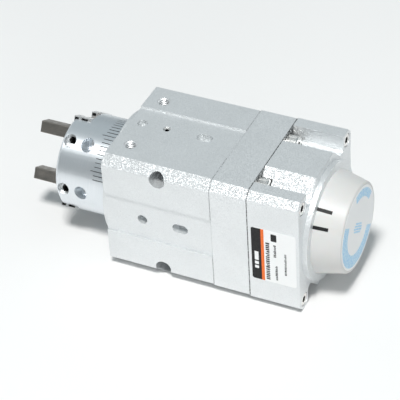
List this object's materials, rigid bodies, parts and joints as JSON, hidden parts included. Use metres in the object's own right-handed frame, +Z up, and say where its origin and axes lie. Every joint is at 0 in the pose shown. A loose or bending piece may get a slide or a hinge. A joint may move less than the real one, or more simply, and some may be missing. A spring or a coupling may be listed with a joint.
{
  "type": "rotary pneumatic actuator with gripper",
  "caption": "Square-bodied vane-type rotary air actuator whose turning drum carries a parallel gripper with two sliding fingers, and a round switch cap at the rear.",
  "frame": {"origin": "on the rotation axis, at the front face of the square body, where the round locating spigot starts", "axes": "+X along the rotation axis towards the switch cap, +Z up with the unit lying on a flat side, -Y towards the side with the name plate"},
  "size_m": [0.1349, 0.0521, 0.052],
  "materials": {
    "anodised_aluminium": "fine satin anodised, slight sparkle",
    "cast_aluminium": "blasted casting",
    "turned_aluminium": "bright turned",
    "machined_aluminium": "as machined",
    "bearing_steel": "ground",
    "hardened_steel": "ground hardened steel, brown-grey",
    "screw_steel": "plated",
    "seal_rubber": "matte",
    "cap_plastic": "moulded off-white",
    "black_print": "printed",
    "sticker_film": "printed film",
    "label_film": "printed film",
    "board_laminate": "circuit laminate"
  },
  "bodies": {
    "housing": {"front_body": "anodised_aluminium", "middle_body": "cast_aluminium", "rear_body": "cast_aluminium", "dust_seal": "seal_rubber", "front_shaft_seal": "seal_rubber", "rear_shaft_seal": "seal_rubber", "chamber_o_ring": "seal_rubber", "chamber_stop": "machined_aluminium", "passage_plug": "screw_steel", "body_screws": "screw_steel", "rear_screws": "screw_steel", "cylinder_cover": "machined_aluminium", "cover_o_ring": "seal_rubber", "retaining_ring": "screw_steel", "rod_seal": "seal_rubber", "switch_cap": "cap_plastic", "cap_marks": "black_print", "cap_sticker": "sticker_film", "circuit_board": "board_laminate", "board_screws": "screw_steel", "position_sensors": "black_print", "name_plate": "label_film", "front_bearing_outer_ring": "bearing_steel", "rear_bearing_outer_ring": "bearing_steel"},
    "rotor": {"guide_drum": "turned_aluminium", "vane_shaft": "bearing_steel", "flange_screws": "screw_steel", "vane": "machined_aluminium", "vane_seal": "seal_rubber", "preload_screws": "screw_steel", "pivot_pins": "bearing_steel", "near_guide_rail": "bearing_steel", "far_guide_rail": "bearing_steel", "guide_balls": "bearing_steel", "front_bearing_inner_ring": "bearing_steel", "front_bearing_balls": "bearing_steel", "rear_bearing_inner_ring": "bearing_steel", "rear_bearing_balls": "bearing_steel"},
    "gripper_rod": {"gripper_rod": "bearing_steel", "gripper_piston": "machined_aluminium", "piston_seal": "seal_rubber", "magnet_arm": "screw_steel", "magnet": "screw_steel", "return_spring": "screw_steel"},
    "upper_finger": {"upper_finger": "hardened_steel"},
    "lower_finger": {"lower_finger": "hardened_steel"},
    "upper_lever": {"upper_lever": "hardened_steel"},
    "lower_lever": {"lower_lever": "hardened_steel"}
  },
  "joints": [
    {"name": "drum_turn", "type": "hinge", "parent": "housing", "child": "rotor", "pos_m": [0, 0, 0], "axis": [1, 0, 0], "range_deg": [-151, 29]},
    {"name": "rod_slide", "type": "slide", "parent": "rotor", "child": "gripper_rod", "axis": [1, 0, 0], "range_m": [0, 0.00378], "stiffness_N_per_m": 800, "springref_m": -0.006, "deforming": ["return_spring"]},
    {"name": "upper_finger_slide", "type": "slide", "parent": "rotor", "child": "upper_finger", "axis": [0, -0.4848, -0.8746], "range_m": [0, 0.003]},
    {"name": "lower_finger_slide", "type": "slide", "parent": "rotor", "child": "lower_finger", "axis": [0, 0.4848, 0.8746], "range_m": [0, 0.003]},
    {"name": "upper_lever_pivot", "type": "hinge", "parent": "rotor", "child": "upper_lever", "pos_m": [-0.0142, 0.00461, 0.00831], "axis": [0, -0.8746, 0.4848], "range_deg": [0, 34.4]},
    {"name": "lower_lever_pivot", "type": "hinge", "parent": "rotor", "child": "lower_lever", "pos_m": [-0.0142, -0.00461, -0.00831], "axis": [0, 0.8746, -0.4848], "range_deg": [0, 34.4]}
  ],
  "couplings": [
    {"joint": "upper_finger_slide", "follows": "rod_slide", "ratio": 0.7936},
    {"joint": "lower_finger_slide", "follows": "rod_slide", "ratio": 0.7936},
    {"joint": "upper_lever_pivot", "follows": "rod_slide", "rad_per_m": 158.8},
    {"joint": "lower_lever_pivot", "follows": "rod_slide", "rad_per_m": 158.8}
  ]
}
